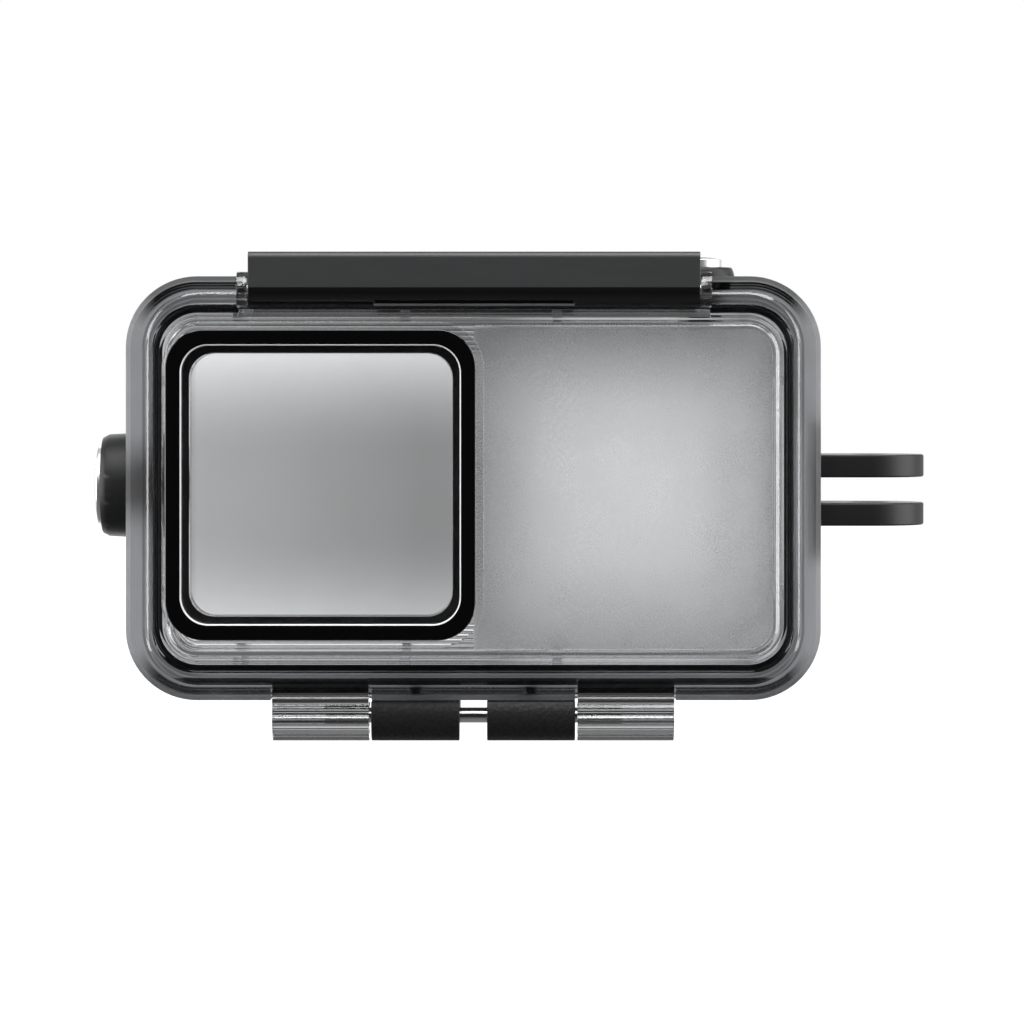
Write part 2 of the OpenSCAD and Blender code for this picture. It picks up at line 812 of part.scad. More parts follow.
rear_shell();
mount_fingers();
hinge_knuckle_left();
hinge_knuckle_right();
hinge_screws();
hinge_pin();
shutter_collar();
shutter_wall_seal();
shutter_stem_seal();
shutter_nut();
mode_collar();
mode_wall_seal();
mode_stem_seal();
mode_nut();
front_door();
lens_frame();
lens_glass();
lens_seal();
door_gasket();
latch_pin();
latch();
shutter_cap();
shutter_stem();
shutter_clip();
shutter_tip();
shutter_spring();
mode_cap();
mode_stem();
mode_clip();
mode_tip();
mode_spring();
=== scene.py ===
import json
import math
import bpy
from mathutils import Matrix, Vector

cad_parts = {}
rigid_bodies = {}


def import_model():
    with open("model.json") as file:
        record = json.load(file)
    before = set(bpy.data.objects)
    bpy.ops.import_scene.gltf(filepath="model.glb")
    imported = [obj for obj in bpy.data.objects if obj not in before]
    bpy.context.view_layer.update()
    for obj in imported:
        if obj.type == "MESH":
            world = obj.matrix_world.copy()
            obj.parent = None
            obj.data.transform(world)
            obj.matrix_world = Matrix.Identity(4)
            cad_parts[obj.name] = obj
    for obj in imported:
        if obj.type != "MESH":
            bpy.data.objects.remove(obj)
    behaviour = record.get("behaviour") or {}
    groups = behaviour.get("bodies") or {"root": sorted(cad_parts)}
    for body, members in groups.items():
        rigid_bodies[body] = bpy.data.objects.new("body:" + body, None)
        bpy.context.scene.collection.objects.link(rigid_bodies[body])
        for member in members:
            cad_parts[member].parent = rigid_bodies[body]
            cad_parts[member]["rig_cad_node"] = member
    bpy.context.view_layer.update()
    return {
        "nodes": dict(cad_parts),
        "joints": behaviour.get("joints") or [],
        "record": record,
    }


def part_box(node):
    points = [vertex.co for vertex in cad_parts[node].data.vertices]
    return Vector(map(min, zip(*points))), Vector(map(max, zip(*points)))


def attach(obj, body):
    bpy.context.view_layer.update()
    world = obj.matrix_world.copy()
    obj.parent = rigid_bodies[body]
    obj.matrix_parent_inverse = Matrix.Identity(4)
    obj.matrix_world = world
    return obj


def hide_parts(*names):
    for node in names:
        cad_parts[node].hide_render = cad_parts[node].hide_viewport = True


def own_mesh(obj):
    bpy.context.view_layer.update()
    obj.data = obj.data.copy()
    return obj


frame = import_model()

mm = 0.001
nodes = frame["nodes"]
slotOf = {part["node"]: part["material_slot"] for part in frame["record"]["subparts"]}
bodyOf = {node: body for body, names in frame["record"]["behaviour"]["bodies"].items()
          for node in names}

for name in ("Cube", "Light", "Camera"):        # what a new file starts with
    if name in bpy.data.objects:
        bpy.data.objects.remove(bpy.data.objects[name])

glassLow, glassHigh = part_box("lens_glass")
gasketLow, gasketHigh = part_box("door_gasket")
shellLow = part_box("rear_shell")[0]
frameLow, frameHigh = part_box("lens_frame")
caseX = (gasketLow.x + gasketHigh.x) / 2        # the middle of the case outline
caseZ = (gasketLow.z + gasketHigh.z) / 2
fieldDepth = 2.45 * mm        # from the port glass's front back to the frosted face
fieldY = glassLow.y + fieldDepth
print("frame loaded,", len(nodes), "nodes")


def middle(node):
    low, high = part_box(node)
    return (low + high) / 2


# the camera looks squarely at the front, a little above and right of the middle
camera = {"distance": 600 * mm, "right": 5.06 * mm, "up": 13.51 * mm, "view": 132.99 * mm,
          "drop": 0.124, "sensor": 36, "near": 10 * mm, "far": 20}


def addCamera():
    data = bpy.data.cameras.new("camera")
    camObject = bpy.data.objects.new("camera", data)
    bpy.context.scene.collection.objects.link(camObject)
    camObject.location = (caseX + camera["right"], fieldY - camera["distance"],
                          caseZ + camera["up"])
    camObject.rotation_euler = (math.radians(90), 0, 0)
    data.sensor_width = camera["sensor"]
    data.lens = camera["sensor"] * camera["distance"] / camera["view"]
    data.shift_y = -camera["drop"]
    data.clip_start = camera["near"]
    data.clip_end = camera["far"]
    bpy.context.scene.camera = camObject


addCamera()


# a wire is a shader socket that takes part in sums
class Wire:
    def __init__(self, tree, socket):
        self.tree = tree
        self.socket = socket

    def maths(self, operation, *values):
        node = self.tree.nodes.new("ShaderNodeMath")
        node.operation = operation
        for socket, value in zip(node.inputs, values):
            feed(self.tree, value, socket)
        return Wire(self.tree, node.outputs[0])

    def __add__(self, other):
        return self.maths("ADD", self, other)

    def __radd__(self, other):
        return self.maths("ADD", other, self)

    def __sub__(self, other):
        return self.maths("SUBTRACT", self, other)

    def __rsub__(self, other):
        return self.maths("SUBTRACT", other, self)

    def __mul__(self, other):
        return self.maths("MULTIPLY", self, other)

    def __rmul__(self, other):
        return self.maths("MULTIPLY", other, self)

    def __truediv__(self, other):
        return self.maths("DIVIDE", self, other)

    def __pow__(self, other):
        return self.maths("POWER", self, other)

    def size(self):
        return self.maths("ABSOLUTE", self)

    def atLeast(self, other):
        return self.maths("MAXIMUM", self, other)

    def atMost(self, other):
        return self.maths("MINIMUM", self, other)

    def wave(self):
        return self.maths("SINE", self)

    def rise(self, start, end):
        # 0 up to start, 1 from end, even between
        return ((self - start) / (end - start)).atLeast(0).atMost(1)


def feed(tree, value, socket):
    if isinstance(value, Wire):
        tree.links.new(value.socket, socket)
    else:
        socket.default_value = value


# a finish is one material, with its shader and what feeds it
class Finish:
    def __init__(self, name, tree=None):
        if tree is None:
            self.material = bpy.data.materials.new(name)
            self.material.use_nodes = True
            tree = self.material.node_tree
            self.shader = tree.nodes["Principled BSDF"]
        self.tree = tree

    def node(self, kind, settings=None, values=None, output=0):
        made = self.tree.nodes.new("ShaderNode" + kind)
        for key, value in (settings or {}).items():
            setattr(made, key, value)
        for key, value in (values or {}).items():
            feed(self.tree, value, made.inputs[key])
        return Wire(self.tree, made.outputs[output])

    def place(self):
        return self.node("TexCoord", output=3)        # Object coordinates

    def axes(self, place):
        split = self.node("SeparateXYZ", None, {0: place}).socket.node
        return [Wire(self.tree, output) for output in split.outputs]

    def stretched(self, scale):
        # the pattern's place, stretched along an axis where the scale is small
        return self.node("Mapping", None, {"Vector": self.place(), "Scale": scale})

    def noise(self, place, grain, detail):
        return self.node("TexNoise", None, {"Vector": place, "Scale": 1 / grain,
                                            "Detail": detail, "Roughness": 0.55})

    def cells(self, place, grain):
        return self.node("TexVoronoi", {"feature": "SMOOTH_F1"},
                         {"Vector": place, "Scale": 1 / grain, "Smoothness": 0.4})

    def mix(self, share, first, second):
        return self.node("Mix", {"data_type": "RGBA"}, {0: share, 6: first, 7: second}, output=2)

    def bump(self, height, depth):
        return self.node("Bump", None, {"Height": height, "Strength": 1, "Distance": depth})

    def set(self, values):
        for key, value in values.items():
            feed(self.tree, value, self.shader.inputs[key])
        return self.material

    def absorb(self, tint, density):
        # how much the plastic takes out of the light for each metre it passes through
        volume = self.node("VolumeAbsorption", None, {"Color": tint, "Density": density})
        end = self.tree.nodes["Material Output"]
        self.tree.links.new(volume.socket, end.inputs["Volume"])


def grey(level, warm=0):
    return (level * (1 + warm), level, level * (1 - warm), 1)


def outlineDistance(x, z, middleX, middleZ, halfWide, halfHigh, radius):
    # how far a point is outside a rounded rectangle, less than 0 inside it
    overX = ((x - middleX).size() - (halfWide - radius)).atLeast(0)
    overZ = ((z - middleZ).size() - (halfHigh - radius)).atLeast(0)
    return (overX * overX + overZ * overZ) ** 0.5 - radius


# clear plastics

depthTint = (0.02, 0.04, 0.08, 1)        # what thick plastic lets through
smoke = {"tint": (0.93, 0.935, 0.945, 1), "density": 32, "ior": 1.58, "polish": 0.015,
         "haze": 7 * mm, "hazeRise": (0.45, 0.75), "hazeTint": grey(0.86), "hazeTone": 0.4,
         "hazeRough": 0.02, "scuff": 0.6 * mm, "scuffRise": (0.62, 0.8), "scuffRough": 0.06,
         "ripple": 5 * mm, "rippleDepth": 0.004 * mm}
outline = {"halfWide": 45.5 * mm, "halfHigh": 27.75 * mm, "radius": 9.3 * mm}
# the rim's tones and its shade colour are painted shade in the smoke's colour
rimLook = {"back": 4.75 * mm, "rough": 0.85, "toolPitch": 0.36 * mm, "lineTone": 0.12,
           "lineRough": 0.1, "lineDepth": 2, "deepest": grey(0.02), "runRise": (0.25, 0.55),
           "bandIn": 1.75 * mm, "innerTone": 0.35, "outerTone": 0.6, "lower": 5 * mm,
           "lowerEase": 0.16, "stepIn": 2.4 * mm, "stepRise": (0.1 * mm, 0.22 * mm),
           "stepTone": 0.7, "polishRise": (0.5 * mm, 0.9 * mm), "polished": 0.75}


def smokeClear():
    made = Finish("smokeClear")
    made.absorb(depthTint, smoke["density"])
    place = made.place()
    haze = made.noise(place, smoke["haze"], 4).rise(*smoke["hazeRise"])
    scuffs = made.noise(made.stretched((1, 0.25, 1)), smoke["scuff"], 5).rise(
        *smoke["scuffRise"])
    ripple = made.noise(place, smoke["ripple"], 2)
    # the rim that faces the door is satin, with fine lines that follow its outline
    x, y, z = made.axes(place)
    rim = 1 - (y - fieldY).rise(rimLook["back"] - 0.1 * mm, rimLook["back"])
    inward = 0 - outlineDistance(x, z, caseX, caseZ, outline["halfWide"], outline["halfHigh"],
                                 outline["radius"])
    lines = (inward * (2 * math.pi / rimLook["toolPitch"])).wave() * 0.5 + 0.5
    # painted shade darkens the rim along the top and bottom runs and round the corners, most in
    # its outer band and a little less at the bottom
    overX = ((x - caseX).size() - (outline["halfWide"] - outline["radius"])).atLeast(0)
    overZ = ((z - caseZ).size() - (outline["halfHigh"] - outline["radius"])).atLeast(0)
    upright = overZ / (overX + overZ).atLeast(0.01 * mm)
    outer = 1 - inward.rise(rimLook["bandIn"], rimLook["bandIn"] + 0.15 * mm)
    lower = (caseZ - z).rise(0, rimLook["lower"])
    deep = upright.rise(*rimLook["runRise"]) * (
        rimLook["innerTone"] + outer * rimLook["outerTone"]) * (
        1 - lower * rimLook["lowerEase"])
    # a painted band of shade along the inner step
    innerStepShade = 1 - (inward - rimLook["stepIn"]).size().rise(*rimLook["stepRise"])
    # the rim's colour is this painted shade, with the tool lines darkening it a little too
    tone = rim * (deep + innerStepShade * rimLook["stepTone"]
                  + lines * rimLook["lineTone"] * (1 - deep)).atMost(1)
    rimRough = (rimLook["rough"] - lines * rimLook["lineRough"] * (1 - deep)
                - deep * inward.rise(*rimLook["polishRise"]) * rimLook["polished"])
    body = made.mix(haze * smoke["hazeTone"], smoke["tint"], smoke["hazeTint"])
    return made.set({
        "Base Color": made.mix(tone, body, rimLook["deepest"]),
        "Roughness": (smoke["polish"] + scuffs * smoke["scuffRough"]
                      + haze * smoke["hazeRough"] + rim * rimRough),
        "Transmission Weight": 1.0, "IOR": smoke["ior"],
        "Normal": made.bump(ripple + rim * lines * rimLook["lineDepth"],
                            smoke["rippleDepth"])})


frost = {"tint": (0.965, 0.97, 0.975, 1), "density": 30, "ior": 1.58, "polish": 0.01,
         "rough": 0.28, "white": grey(0.93), "whiteTone": 0.3, "grain": 0.16 * mm,
         "grainDepth": 0.012 * mm, "grainRough": 0.25, "cloud": 6 * mm, "cloudTone": 0.3,
         "cloudRough": 0.1, "scuff": 0.5 * mm, "scuffRise": (0.64, 0.8), "scuffRough": 0.05,
         "halfWide": 39.3 * mm, "halfHigh": 21.2 * mm, "radius": 3.7 * mm,
         "edge": 0.5 * mm, "left": 0.05 * mm, "front": -0.3 * mm, "back": 2.7 * mm,
         "shade": grey(0.01), "thick": 0.38, "speckle": 0.2}
heartOf = {"right": 19 * mm, "up": 0.8 * mm, "halfWide": 16 * mm, "halfHigh": 16.4 * mm,
           "radius": 9 * mm, "fade": 6 * mm}        # the bright middle of the field, outside which painted shade gathers
armLook = {"top": 24.8 * mm, "bandEnd": 26.5 * mm, "band": 0.93, "drawStart": 27 * mm,
           "drawPitch": 1.35 * mm, "drawDepth": 13}
# the skirt's tone and step shade are painted shade
skirtLook = {"pitch": 0.62 * mm, "tone": 0.22, "stepTone": 0.18, "depth": 1.4}


def clearDoor():
    # the door is polished, but its flat field beside the lens port is frosted
    made = Finish("clearDoor")
    made.absorb(depthTint, frost["density"])
    place = made.place()
    x, y, z = made.axes(place)
    depth = y - fieldY
    outside = outlineDistance(x, z, caseX, caseZ, frost["halfWide"], frost["halfHigh"],
                              frost["radius"])
    field = (1 - outside.rise(-frost["edge"], 0)) * (x - caseX).rise(
        frost["left"], frost["left"] + 0.2 * mm)
    field = field * depth.rise(frost["front"] - 0.1 * mm, frost["front"]) * (
        1 - depth.rise(frost["back"], frost["back"] + 0.1 * mm))
    grain = made.noise(place, frost["grain"], 3)
    cloud = made.noise(place, frost["cloud"], 3)
    scuffs = made.noise(made.stretched((0.3, 1, 1)), frost["scuff"], 5).rise(
        *frost["scuffRise"])
    # painted shade darkens the field towards its edge, with dark grain speckled into it
    heart = outlineDistance(x, z, caseX + heartOf["right"], caseZ + heartOf["up"],
                            heartOf["halfWide"], heartOf["halfHigh"], heartOf["radius"])
    thick = field * (heart.rise(-heartOf["fade"], heartOf["fade"]) * frost["thick"]
                     + heart.rise(0, heartOf["fade"]) * grain * frost["speckle"])
    # the arms carry draw lines, and painted shade darkens them where they cross the rim
    drop = caseZ - z
    arm = drop.rise(armLook["top"] - 0.2 * mm, armLook["top"])
    shade = arm * (1 - drop.rise(armLook["bandEnd"], armLook["bandEnd"] + 0.3 * mm)) * (
        armLook["band"])
    drawn = (drop * (2 * math.pi / armLook["drawPitch"])).wave() * drop.rise(
        armLook["drawStart"], armLook["drawStart"] + 0.5 * mm)
    # moulded steps run round the skirt, as bumps and as painted lines of shade and light in its
    # colour, and the whole skirt is darkened with painted shade
    skirt = (1 - field) * (1 - arm)
    steps = (outside * (2 * math.pi / skirtLook["pitch"])).wave() * skirt
    shade = shade + skirt * skirtLook["tone"] + steps * skirtLook["stepTone"]
    body = made.mix(field * (frost["whiteTone"] + cloud * frost["cloudTone"]),
                    frost["tint"], frost["white"])
    return made.set({
        "Base Color": made.mix((thick + shade).atMost(1), body, frost["shade"]),
        "Roughness": (frost["polish"] + scuffs * frost["scuffRough"]
                      + field * (frost["rough"] + (grain - 0.5) * frost["grainRough"]
                                 + (cloud - 0.5) * frost["cloudRough"])),
        "Transmission Weight": 1.0, "IOR": frost["ior"],
        "Normal": made.bump(grain * field + drawn * armLook["drawDepth"]
                            + steps * skirtLook["depth"], frost["grainDepth"])})


pane = {"speck": 0.35 * mm, "speckRise": (0.72, 0.8), "speckRough": 0.04, "ior": 1.52,
        "coating": 30 * mm, "greenish": (0.975, 0.985, 0.98, 1),
        "pinkish": (0.985, 0.98, 0.985, 1)}


def portGlass():
    made = Finish("portGlass")
    place = made.place()
    specks = made.noise(place, pane["speck"], 4).rise(*pane["speckRise"])
    coating = made.noise(place, pane["coating"], 1)
    return made.set({
        "Base Color": made.mix(coating, pane["greenish"], pane["pinkish"]),
        "Roughness": specks * pane["speckRough"], "Transmission Weight": 1.0,
        "IOR": pane["ior"], "Coat Weight": 0.3, "Coat Roughness": 0.02, "Coat IOR": 1.38})


# black plastics and rubber

satin = {"level": 0.008, "rough": 0.38, "texture": 0.12 * mm, "depth": 0.008 * mm,
         "textureRough": 0.16, "cloud": 9 * mm, "cloudTone": 0.3, "cloudRough": 0.08,
         "wear": 0.25 * mm, "wearRise": (0.66, 0.8), "wearTone": 0.4}


def satinBlack():
    made = Finish("satinBlack")
    place = made.place()
    texture = made.noise(place, satin["texture"], 4)
    cloud = made.noise(place, satin["cloud"], 3)
    wear = made.noise(made.stretched((0.15, 1, 1)), satin["wear"], 4).rise(*satin["wearRise"])
    return made.set({
        "Base Color": made.mix(wear * satin["wearTone"] + cloud * satin["cloudTone"],
                               grey(satin["level"], -0.02), grey(satin["level"] * 2)),
        "Roughness": (satin["rough"] + (texture - 0.5) * satin["textureRough"]
                      + cloud * satin["cloudRough"]),
        "Specular IOR Level": 0.2, "Normal": made.bump(texture, satin["depth"])})


latchLook = {"faceDrop": 4.55 * mm, "slotDrop": 6.95 * mm, "slotHalf": 13 * mm,
             "slotRise": (0.2 * mm, 0.26 * mm), "slotBack": 1.4 * mm,
             "face": 0.017, "barrel": 0.0025, "slot": 0.16, "line": 0.12 * mm,
             "texture": 0.12 * mm, "cloud": 9 * mm, "depth": 0.006 * mm, "rough": 0.42,
             "textureRough": 0.1, "lineRough": 0.12, "barrelPolish": 0.18}


def latchBlack():
    # a brushed face above a glossy barrel, with a painted highlight in the groove between them
    made = Finish("latchBlack")
    low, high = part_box("latch")
    place = made.place()
    x, y, z = made.axes(place)
    drop = high.z - z
    barrel = drop.rise(latchLook["faceDrop"], latchLook["faceDrop"] + 0.15 * mm)
    slot = (1 - (drop - latchLook["slotDrop"]).size().rise(*latchLook["slotRise"])) * (
        1 - (x - middle("latch").x).size().rise(latchLook["slotHalf"],
                                                latchLook["slotHalf"] + 0.05 * mm)) * (
        1 - (y - low.y).rise(latchLook["slotBack"], latchLook["slotBack"] + 0.1 * mm))
    brushed = made.noise(made.stretched((0.02, 1, 1)), latchLook["line"], 4)
    texture = made.noise(place, latchLook["texture"], 4)
    cloud = made.noise(made.stretched((0.3, 1, 1)), latchLook["cloud"], 3)
    face = made.mix(brushed * 0.6 + cloud * 0.4, grey(latchLook["face"] * 0.8, -0.03),
                    grey(latchLook["face"] * 1.3, -0.03))
    colour = made.mix(barrel, face, grey(latchLook["barrel"]))
    return made.set({
        "Base Color": made.mix(slot, colour, grey(latchLook["slot"])),
        "Roughness": (latchLook["rough"] + (texture - 0.5) * latchLook["textureRough"]
                      + (brushed - 0.5) * latchLook["lineRough"]
                      - barrel * latchLook["barrelPolish"]),
        "Specular IOR Level": 0.4,
        "Normal": made.bump(texture * 0.6 + brushed, latchLook["depth"])})


grained = {"pebble": 0.42 * mm, "fine": 0.1 * mm, "depth": 0.05 * mm, "rough": 0.34,
           "pebbleRough": 0.22, "middle": 0.012, "between": 0.005, "rise": (0.1, 0.7)}


def grainedBlack():
    made = Finish("grainedBlack")
    place = made.place()
    pebbles = made.cells(place, grained["pebble"])
    fine = made.noise(place, grained["fine"], 3)
    height = pebbles * 0.8 + fine * 0.3
    return made.set({
        "Base Color": made.mix(pebbles.rise(*grained["rise"]), grey(grained["middle"]),
                               grey(grained["between"])),
        "Roughness": grained["rough"] + pebbles * grained["pebbleRough"],
        "Specular IOR Level": 0.2, "Normal": made.bump(height, grained["depth"])})


gloss = {"level": 0.0015, "rough": 0.06, "swirl": 8 * mm, "swirlRough": 0.04,
         "swirlDepth": 0.002 * mm, "dust": 0.3 * mm, "dustRise": (0.74, 0.8),
         "dustLevel": 0.02, "dustTone": 0.3, "dustRough": 0.2}
portEdgeHighlight = {"radius": 3.5 * mm, "lip": 0.7 * mm, "wide": 0.15 * mm, "level": 0.5, "rough": 0.4}


def glossBlack():
    made = Finish("glossBlack")
    place = made.place()
    swirl = made.noise(place, gloss["swirl"], 2)
    dust = made.noise(place, gloss["dust"], 4).rise(*gloss["dustRise"])
    # a painted highlight, a bright line, runs round its inner edge
    x, y, z = made.axes(place)
    port = middle("lens_glass")
    half = glassHigh.x - glassLow.x + portEdgeHighlight["lip"] - (frameHigh.x - frameLow.x) / 2
    line = 1 - outlineDistance(x, z, port.x, port.z, half, half, portEdgeHighlight["radius"]).rise(
        portEdgeHighlight["wide"], portEdgeHighlight["wide"] + 0.03 * mm)
    return made.set({
        "Base Color": made.mix(line, made.mix(dust * gloss["dustTone"], grey(gloss["level"]),
                                              grey(gloss["dustLevel"])),
                               grey(portEdgeHighlight["level"])),
        "Roughness": (gloss["rough"] + swirl * gloss["swirlRough"] + dust * gloss["dustRough"]
                      + line * portEdgeHighlight["rough"]),
        "Coat Weight": 0.2, "Coat Roughness": 0.03,
        "Normal": made.bump(swirl, gloss["swirlDepth"])})


silicone = {"level": 0.010, "bloom": 3 * mm, "bloomRise": (0.45, 0.8), "bloomLevel": 0.022,
            "rough": 0.5, "bloomRough": 0.15, "fine": 0.15 * mm, "depth": 0.006 * mm}


def blackSilicone():
    made = Finish("blackSilicone")
    place = made.place()
    bloom = made.noise(place, silicone["bloom"], 4)
    fine = made.noise(place, silicone["fine"], 2)
    return made.set({
        "Base Color": made.mix(bloom.rise(*silicone["bloomRise"]), grey(silicone["level"]),
                               grey(silicone["bloomLevel"])),
        "Roughness": silicone["rough"] + bloom * silicone["bloomRough"],
        "Normal": made.bump(fine, silicone["depth"])})


# metals

steel = {"line": 0.05 * mm, "lineTone": 0.5, "lineRough": 0.2, "depth": 0.003 * mm,
         "stain": 4 * mm, "stainTone": 0.3, "dull": 0.7}


def brushedSteel(name, level, rough):
    # fine grinding lines along the x axis
    made = Finish(name)
    lines = made.noise(made.stretched((0.03, 1, 1)), steel["line"], 3)
    stain = made.noise(made.place(), steel["stain"], 3)
    return made.set({
        "Base Color": made.mix(lines * steel["lineTone"] + stain * steel["stainTone"],
                               grey(level, 0.01), grey(level * steel["dull"])),
        "Metallic": 1.0, "Roughness": rough + (lines - 0.5) * steel["lineRough"],
        "Normal": made.bump(lines, steel["depth"])})


turned = {"pitch": 0.11 * mm, "depth": 0.0035 * mm, "level": 0.72, "dull": 0.72,
          "rough": 0.30, "ringTone": 0.3, "ringRough": 0.05, "uneven": 1.5 * mm,
          "unevenTone": 0.3, "unevenRough": 0.08}


def turnedCap(name, node, axis):
    # rings left by the lathe, about the button's own axis
    made = Finish(name)
    centre = middle(node)
    across = [wire - centre[k] for k, wire in enumerate(made.axes(made.place())) if k != axis]
    radius = (across[0] * across[0] + across[1] * across[1]) ** 0.5
    rings = (radius * (2 * math.pi / turned["pitch"])).wave() * 0.5 + 0.5
    uneven = made.noise(made.place(), turned["uneven"], 3)
    return made.set({
        "Base Color": made.mix(rings * turned["ringTone"] + uneven * turned["unevenTone"],
                               grey(turned["level"]), grey(turned["level"] * turned["dull"])),
        "Metallic": 1.0,
        "Roughness": (turned["rough"] + uneven * turned["unevenRough"]
                      - rings * turned["ringRough"]),
        "Normal": made.bump(rings * (0.6 + uneven * 0.8), turned["depth"])})


finishes = {
    "smoke_clear": smokeClear(), "clear_door": clearDoor(), "port_glass": portGlass(),
    "satin_black": satinBlack(), "grained_black": grainedBlack(), "gloss_black": glossBlack(),
    "black_silicone": blackSilicone(), "pin_steel": brushedSteel("pinSteel", 0.78, 0.2),
    "screw_steel": brushedSteel("screwSteel", 0.30, 0.34),
    "spring_steel": brushedSteel("springSteel", 0.55, 0.28),
    "satin_chrome": turnedCap("satinChrome", "shutter_cap", 0)}
finishOf = {node: finishes[slotOf[node]] for node in nodes}
finishOf["mode_cap"] = turnedCap("satinChromeTop", "mode_cap", 2)
finishOf["latch"] = latchBlack()
for node, part in nodes.items():
    part.data.materials.clear()
    part.data.materials.append(finishOf[node])
print("finishes made,", len(bpy.data.materials))


# modelling by hand

easing = {"sameSpot": 0.002 * mm, "segments": 2, "flatWeight": 50,
          "flatTurn": math.radians(0.6),        # faces that turn less than this are one flat
          "sharpTurn": math.radians(35)}


def letGo():
    bpy.ops.object.select_all(action="DESELECT")


def take(piece):
    letGo()
    piece.select_set(True)
    bpy.context.view_layer.objects.active = piece


def dress(piece, node, body=None):
    piece.data.materials.clear()
    piece.data.materials.append(finishOf[node])
    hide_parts(node)
    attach(piece, body or bodyOf[node])


def applyAll(piece):
    take(piece)
    for modifier in list(piece.modifiers):
        bpy.ops.object.modifier_apply(modifier=modifier.name)


def smoothEdges(piece, width):
    bevel = piece.modifiers.new("edges", "BEVEL")
    bevel.width = width
    bevel.segments = easing["segments"]
    bevel.limit_method = "ANGLE"
    bevel.angle_limit = easing["sharpTurn"]
    bevel.use_clamp_overlap = True
    bevel.miter_outer = "MITER_ARC"
    applyAll(piece)
    bpy.ops.object.shade_smooth_by_angle(angle=easing["sharpTurn"])
    flats = piece.modifiers.new("flats", "WEIGHTED_NORMAL")        # wide flats stay flat
    flats.weight = easing["flatWeight"]
    flats.keep_sharp = True
    applyAll(piece)


def carried(node, edge):
    # a copy of the CAD piece with its doubles merged, its flats made whole and its edges eased
    take(nodes[node])
    bpy.ops.object.duplicate()
    piece = bpy.context.view_layer.objects.active
    words = node.split("_")
    piece.name = words[0] + "".join(word.capitalize() for word in words[1:])
    piece.parent = None
    del piece["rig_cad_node"]
    bpy.ops.object.mode_set(mode="EDIT")
    bpy.ops.mesh.select_all(action="SELECT")
    bpy.ops.mesh.remove_doubles(threshold=easing["sameSpot"])
    bpy.ops.mesh.dissolve_limited(angle_limit=easing["flatTurn"])
    bpy.ops.object.mode_set(mode="OBJECT")
    smoothEdges(piece, edge)
    dress(piece, node)


# how far each piece's edges are eased, in millimetres
eased = {"rear_shell": 0.18, "front_door": 0.14, "lens_frame": 0.16, "lens_glass": 0.1,
         "door_gasket": 0.08, "latch": 0.14, "latch_pin": 0.15, "mount_fingers": 0.25,
         "hinge_knuckle_left": 0.15, "hinge_knuckle_right": 0.15, "hinge_pin": 0.2,
         "hinge_screws": 0.08, "shutter_collar": 0.12, "mode_collar": 0.1, "shutter_cap": 0.2,
         "mode_cap": 0.14, "shutter_nut": 0.1, "mode_nut": 0.1, "shutter_stem": 0.1,
         "mode_stem": 0.08, "shutter_tip": 0.12, "mode_tip": 0.12, "shutter_clip": 0.05,
         "mode_clip": 0.05, "lens_seal": 0.05}
for node, edge in eased.items():
    carried(node, edge * mm)
print("edges eased on", len(eased), "pieces")


# springs, wound as a wire with closed ends

coilWork = {"wire": 0.22 * mm, "turns": 4.5, "round": 12, "steps": 28,
            "sharpTurn": math.radians(60)}


def wind(name, node, axis, keep):
    low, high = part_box(node)
    centre = middle(node)
    wire = coilWork["wire"]
    length = high[axis] - low[axis] - 2 * wire
    widest = max(high[k] - low[k] for k in range(3) if k != axis)
    radius = widest / 2 - wire
    letGo()
    bpy.ops.mesh.primitive_circle_add(vertices=coilWork["round"], radius=wire,
                                      location=(radius, 0, 0), rotation=(math.radians(90), 0, 0))
    spring = bpy.context.view_layer.objects.active
    spring.name = name
    bpy.ops.object.transform_apply(location=True, rotation=True, scale=True)
    coil = spring.modifiers.new("coil", "SCREW")
    coil.axis = "Z"
    coil.angle = 2 * math.pi * coilWork["turns"]
    coil.screw_offset = length
    coil.steps = int(coilWork["steps"] * coilWork["turns"])
    coil.render_steps = coil.steps
    applyAll(spring)
    bpy.ops.object.mode_set(mode="EDIT")
    bpy.ops.mesh.select_all(action="SELECT")
    bpy.ops.mesh.fill_holes(sides=0)
    bpy.ops.mesh.select_all(action="SELECT")
    bpy.ops.mesh.normals_make_consistent(inside=False)
    bpy.ops.object.mode_set(mode="OBJECT")
    spring.location = (centre.x, centre.y, low.z + wire)
    if axis == 0:
        spring.rotation_euler = (0, math.radians(90), 0)
        spring.location = (low.x + wire, centre.y, centre.z)
    bpy.ops.object.transform_apply(location=True, rotation=True, scale=True)
    bpy.ops.object.shade_smooth_by_angle(angle=coilWork["sharpTurn"])
    dress(spring, node, "rear_shell")
    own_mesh(spring)


def travelLeft(node, axis, joint):
    # the share of a spring's length that is left when its button is pressed home
    low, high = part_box(node)
    travel = next(j["range_m"][1] for j in frame["joints"] if j["name"] == joint)
    return 1 - travel / (high[axis] - low[axis])


wind("shutterSpring", "shutter_spring", 0,
     travelLeft("shutter_spring", 0, "shutter_press"))
wind("modeSpring", "mode_spring", 2,
     travelLeft("mode_spring", 2, "mode_press"))
print("springs wound")


# sealing rings, each a turned torus

ringWork = {"round": 96, "section": 18}


